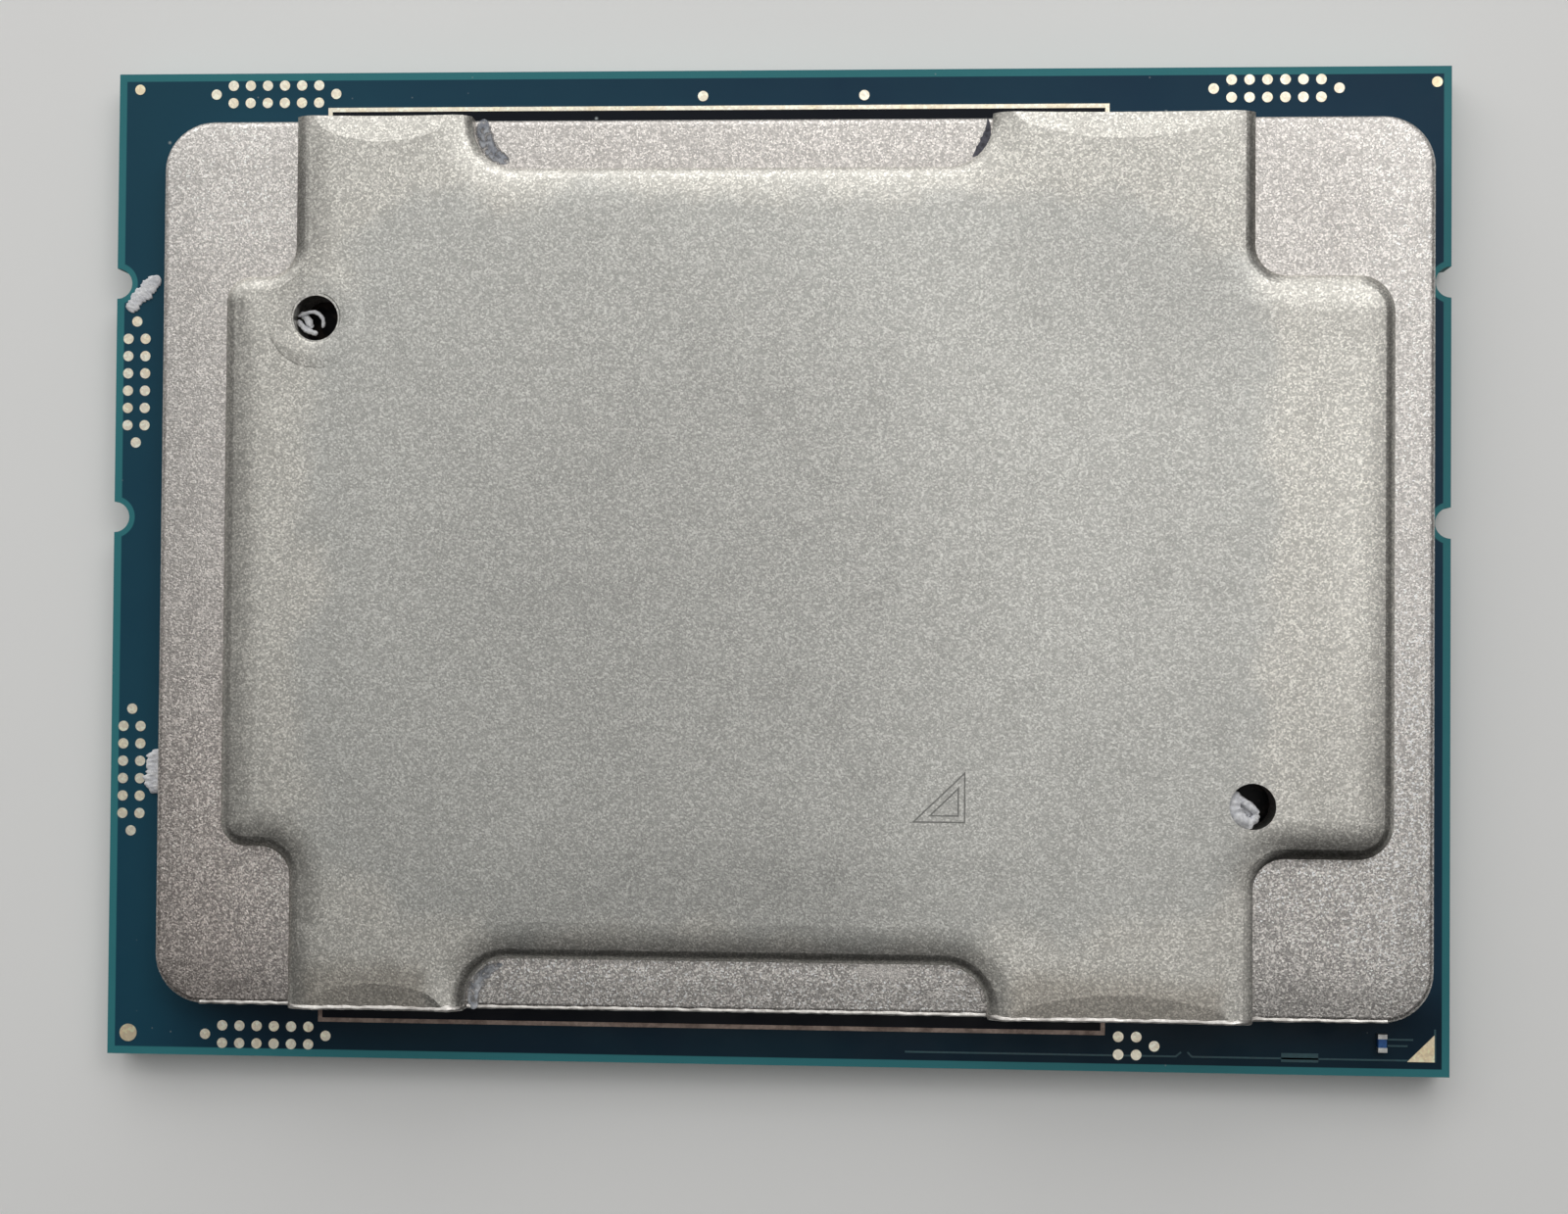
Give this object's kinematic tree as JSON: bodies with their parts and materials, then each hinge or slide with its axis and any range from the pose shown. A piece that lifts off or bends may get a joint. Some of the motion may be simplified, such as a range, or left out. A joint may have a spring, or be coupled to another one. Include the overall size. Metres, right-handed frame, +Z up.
{
  "type": "computer processor",
  "caption": "Rectangular land grid computer processor: a stepped metal heat spreader with vents on a laminate board with gold pads, for a server socket.",
  "frame": {"origin": "middle of the package, at the feet of the capacitors under the board", "axes": "+X along the long side with pin one at the right near corner, +Y towards the far long edge, +Z up through the heat spreader"},
  "size_m": [0.076, 0.0564, 0.006],
  "materials": {
    "board_mask": "satin dark blue solder mask over laminate",
    "nickel": "fine blasted nickel plate on copper",
    "sealant": "matt",
    "silicon": "polished",
    "solder": "soft solder",
    "resin": "cured resin",
    "chip_ceramic": "fired",
    "chip_blue": "fired",
    "tin": "tinned",
    "gold": "gold plate",
    "paste": "dried thermal paste"
  },
  "bodies": {
    "root": {"substrate": "board_mask", "heat_spreader": "nickel", "lid_sealant": "sealant", "silicon_die": "silicon", "thermal_solder": "solder", "die_underfill": "resin", "die_side_capacitors": "chip_ceramic", "die_side_cap_ends": "tin", "land_side_capacitors": "chip_ceramic", "land_side_cap_ends": "tin", "corner_capacitor": "chip_blue", "corner_cap_ends": "tin", "pads_far_left": "gold", "pads_far_right": "gold", "pads_left_upper": "gold", "pads_left_lower": "gold", "pads_near_left": "gold", "pads_near_right": "gold", "corner_pads": "gold", "single_pads": "gold", "track_far": "gold", "track_near": "gold", "pin_one_triangle": "gold"}
  },
  "joints": []
}
